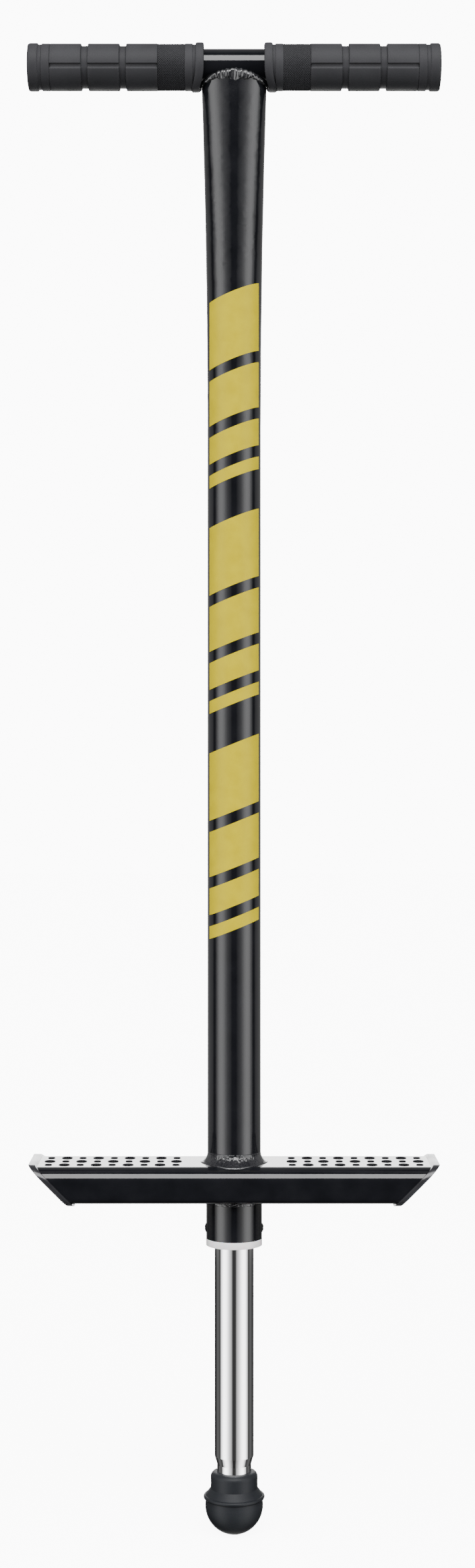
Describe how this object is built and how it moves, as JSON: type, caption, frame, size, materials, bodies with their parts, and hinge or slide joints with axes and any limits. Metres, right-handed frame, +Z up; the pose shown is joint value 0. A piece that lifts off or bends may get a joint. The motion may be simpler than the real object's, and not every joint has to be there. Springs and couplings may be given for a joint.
{
  "type": "pogo stick",
  "caption": "Upright spring jumping stick: black tube with crossbar grips, perforated foot rest, chrome plunger and round rubber foot.",
  "frame": {"origin": "lowest point of the rubber foot, on the axis of the tubes", "axes": "+Z up along the tubes, +X along the handlebar, to the right as seen from the front, -Y the front"},
  "size_m": [0.2956, 0.0672, 1.0642],
  "materials": {
    "black_paint": "gloss black paint",
    "weld": "painted weld bead, rough and glossy",
    "grip_rubber": "satin moulded rubber",
    "yellow_vinyl": "yellow vinyl film",
    "cap_plastic": "black plastic, semi-matte",
    "white_nylon": "natural nylon",
    "black_screw": "blackened steel",
    "foot_rubber": "matte black rubber",
    "zinc_steel": "zinc-plated steel",
    "spring_steel": "oiled spring steel",
    "chrome": "mirror chrome plate"
  },
  "bodies": {
    "frame": {"main_tube": "black_paint", "handlebar": "black_paint", "handlebar_weld": "weld", "grip_left": "grip_rubber", "grip_right": "grip_rubber", "tube_decal": "yellow_vinyl", "footrest_channel": "black_paint", "footrest_end_cap_left": "cap_plastic", "footrest_end_cap_right": "cap_plastic", "footrest_top_weld": "weld", "footrest_bottom_weld": "weld", "lower_sleeve": "black_paint", "lower_bush": "white_nylon", "bush_screw_left": "black_screw", "bush_screw_right": "black_screw", "rebound_bumper": "foot_rubber", "upper_spring_seat": "zinc_steel", "main_spring": "spring_steel"},
    "plunger": {"plunger_tube": "chrome", "plunger_head": "zinc_steel", "head_pin": "zinc_steel", "guide_ring": "white_nylon", "spring_washer": "zinc_steel", "foot_washer": "zinc_steel", "rubber_foot": "foot_rubber"}
  },
  "joints": [
    {"name": "plunger_slide", "type": "slide", "parent": "frame", "child": "plunger", "axis": [0, 0, 1], "range_m": [0, 0.16], "stiffness_N_per_m": 7000, "springref_m": -0.02, "deforming": ["main_spring"]}
  ]
}
